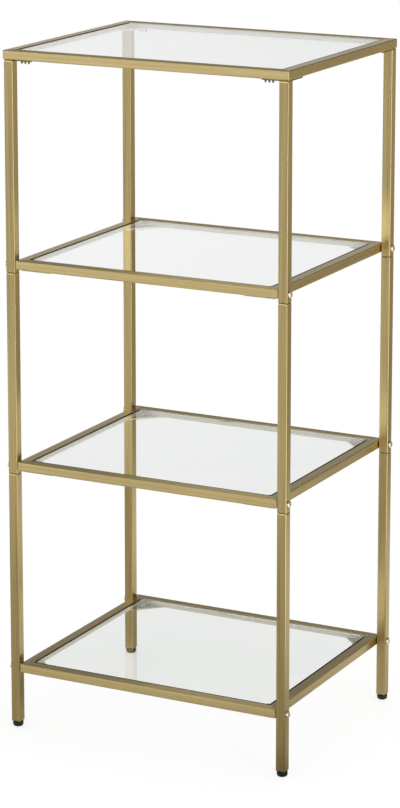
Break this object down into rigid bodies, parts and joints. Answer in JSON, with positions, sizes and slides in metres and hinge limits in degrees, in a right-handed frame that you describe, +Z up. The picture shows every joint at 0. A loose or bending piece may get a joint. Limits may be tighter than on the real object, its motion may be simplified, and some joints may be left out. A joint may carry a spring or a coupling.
{
  "type": "storage rack",
  "caption": "Open tiered storage rack: sectional square posts, bolted tube frames with corner gussets, loose clear glass shelves on soft pads, and screw-levelling feet.",
  "frame": {"origin": "on the floor under the middle of the rack", "axes": "+X to the right along the front, +Y to the back, +Z up"},
  "size_m": [0.4058, 0.3266, 0.901],
  "materials": {
    "satin_gold": "satin champagne gold coating on steel tube",
    "bright_gold": "polished gold",
    "clear_glass": "clear, polished edges",
    "clear_silicone": "clear soft silicone",
    "black_plastic": "fine matte",
    "zinc_steel": "zinc plated"
  },
  "bodies": {
    "rack": {"lower_shelf_frame": "satin_gold", "middle_shelf_frame": "satin_gold", "upper_shelf_frame": "satin_gold", "top_frame": "satin_gold", "post_front_left_base": "satin_gold", "post_front_left_mid": "satin_gold", "post_front_left_top": "satin_gold", "post_front_right_base": "satin_gold", "post_front_right_mid": "satin_gold", "post_front_right_top": "satin_gold", "post_back_left_base": "satin_gold", "post_back_left_mid": "satin_gold", "post_back_left_top": "satin_gold", "post_back_right_base": "satin_gold", "post_back_right_mid": "satin_gold", "post_back_right_top": "satin_gold", "bolt_lower_front_left": "bright_gold", "bolt_lower_front_right": "bright_gold", "bolt_lower_back_left": "bright_gold", "bolt_lower_back_right": "bright_gold", "bolt_middle_front_left": "bright_gold", "bolt_middle_front_right": "bright_gold", "bolt_middle_back_left": "bright_gold", "bolt_middle_back_right": "bright_gold", "bolt_upper_front_left": "bright_gold", "bolt_upper_front_right": "bright_gold", "bolt_upper_back_left": "bright_gold", "bolt_upper_back_right": "bright_gold", "pad_lower_front_left": "clear_silicone", "pad_lower_front_right": "clear_silicone", "pad_lower_back_left": "clear_silicone", "pad_lower_back_right": "clear_silicone", "pad_middle_front_left": "clear_silicone", "pad_middle_front_right": "clear_silicone", "pad_middle_back_left": "clear_silicone", "pad_middle_back_right": "clear_silicone", "pad_upper_front_left": "clear_silicone", "pad_upper_front_right": "clear_silicone", "pad_upper_back_left": "clear_silicone", "pad_upper_back_right": "clear_silicone", "pad_top_front_left": "clear_silicone", "pad_top_front_right": "clear_silicone", "pad_top_back_left": "clear_silicone", "pad_top_back_right": "clear_silicone", "foot_insert_front_left": "black_plastic", "foot_insert_front_right": "black_plastic", "foot_insert_back_left": "black_plastic", "foot_insert_back_right": "black_plastic"},
    "lower_pane": {"lower_glass": "clear_glass"},
    "middle_pane": {"middle_glass": "clear_glass"},
    "upper_pane": {"upper_glass": "clear_glass"},
    "top_pane": {"top_glass": "clear_glass"},
    "front_left_stud": {"foot_stud_front_left": "zinc_steel"},
    "front_left_glide": {"foot_glide_front_left": "black_plastic"},
    "front_right_stud": {"foot_stud_front_right": "zinc_steel"},
    "front_right_glide": {"foot_glide_front_right": "black_plastic"},
    "back_left_stud": {"foot_stud_back_left": "zinc_steel"},
    "back_left_glide": {"foot_glide_back_left": "black_plastic"},
    "back_right_stud": {"foot_stud_back_right": "zinc_steel"},
    "back_right_glide": {"foot_glide_back_right": "black_plastic"}
  },
  "joints": [
    {"name": "lower_glass_lift", "type": "slide", "parent": "rack", "child": "lower_pane", "axis": [0, 0, 1], "range_m": [0, 0.03]},
    {"name": "middle_glass_lift", "type": "slide", "parent": "rack", "child": "middle_pane", "axis": [0, 0, 1], "range_m": [0, 0.03]},
    {"name": "upper_glass_lift", "type": "slide", "parent": "rack", "child": "upper_pane", "axis": [0, 0, 1], "range_m": [0, 0.03]},
    {"name": "top_glass_lift", "type": "slide", "parent": "rack", "child": "top_pane", "axis": [0, 0, 1], "range_m": [0, 0.03]},
    {"name": "foot_front_left_travel", "type": "slide", "parent": "rack", "child": "front_left_stud", "axis": [0, 0, -1], "range_m": [0, 0.006]},
    {"name": "foot_front_left_turn", "type": "hinge", "parent": "front_left_stud", "child": "front_left_glide", "pos_m": [-0.1935, -0.156, 0.003], "axis": [0, 0, -1], "range_deg": [0, 2161]},
    {"name": "foot_front_right_travel", "type": "slide", "parent": "rack", "child": "front_right_stud", "axis": [0, 0, -1], "range_m": [0, 0.006]},
    {"name": "foot_front_right_turn", "type": "hinge", "parent": "front_right_stud", "child": "front_right_glide", "pos_m": [0.1935, -0.156, 0.003], "axis": [0, 0, -1], "range_deg": [0, 2161]},
    {"name": "foot_back_left_travel", "type": "slide", "parent": "rack", "child": "back_left_stud", "axis": [0, 0, -1], "range_m": [0, 0.006]},
    {"name": "foot_back_left_turn", "type": "hinge", "parent": "back_left_stud", "child": "back_left_glide", "pos_m": [-0.1935, 0.156, 0.003], "axis": [0, 0, -1], "range_deg": [0, 2161]},
    {"name": "foot_back_right_travel", "type": "slide", "parent": "rack", "child": "back_right_stud", "axis": [0, 0, -1], "range_m": [0, 0.006]},
    {"name": "foot_back_right_turn", "type": "hinge", "parent": "back_right_stud", "child": "back_right_glide", "pos_m": [0.1935, 0.156, 0.003], "axis": [0, 0, -1], "range_deg": [0, 2161]}
  ],
  "couplings": [
    {"joint": "foot_front_left_turn", "follows": "foot_front_left_travel", "rad_per_m": 6283.2},
    {"joint": "foot_front_right_turn", "follows": "foot_front_right_travel", "rad_per_m": 6283.2},
    {"joint": "foot_back_left_turn", "follows": "foot_back_left_travel", "rad_per_m": 6283.2},
    {"joint": "foot_back_right_turn", "follows": "foot_back_right_travel", "rad_per_m": 6283.2}
  ]
}
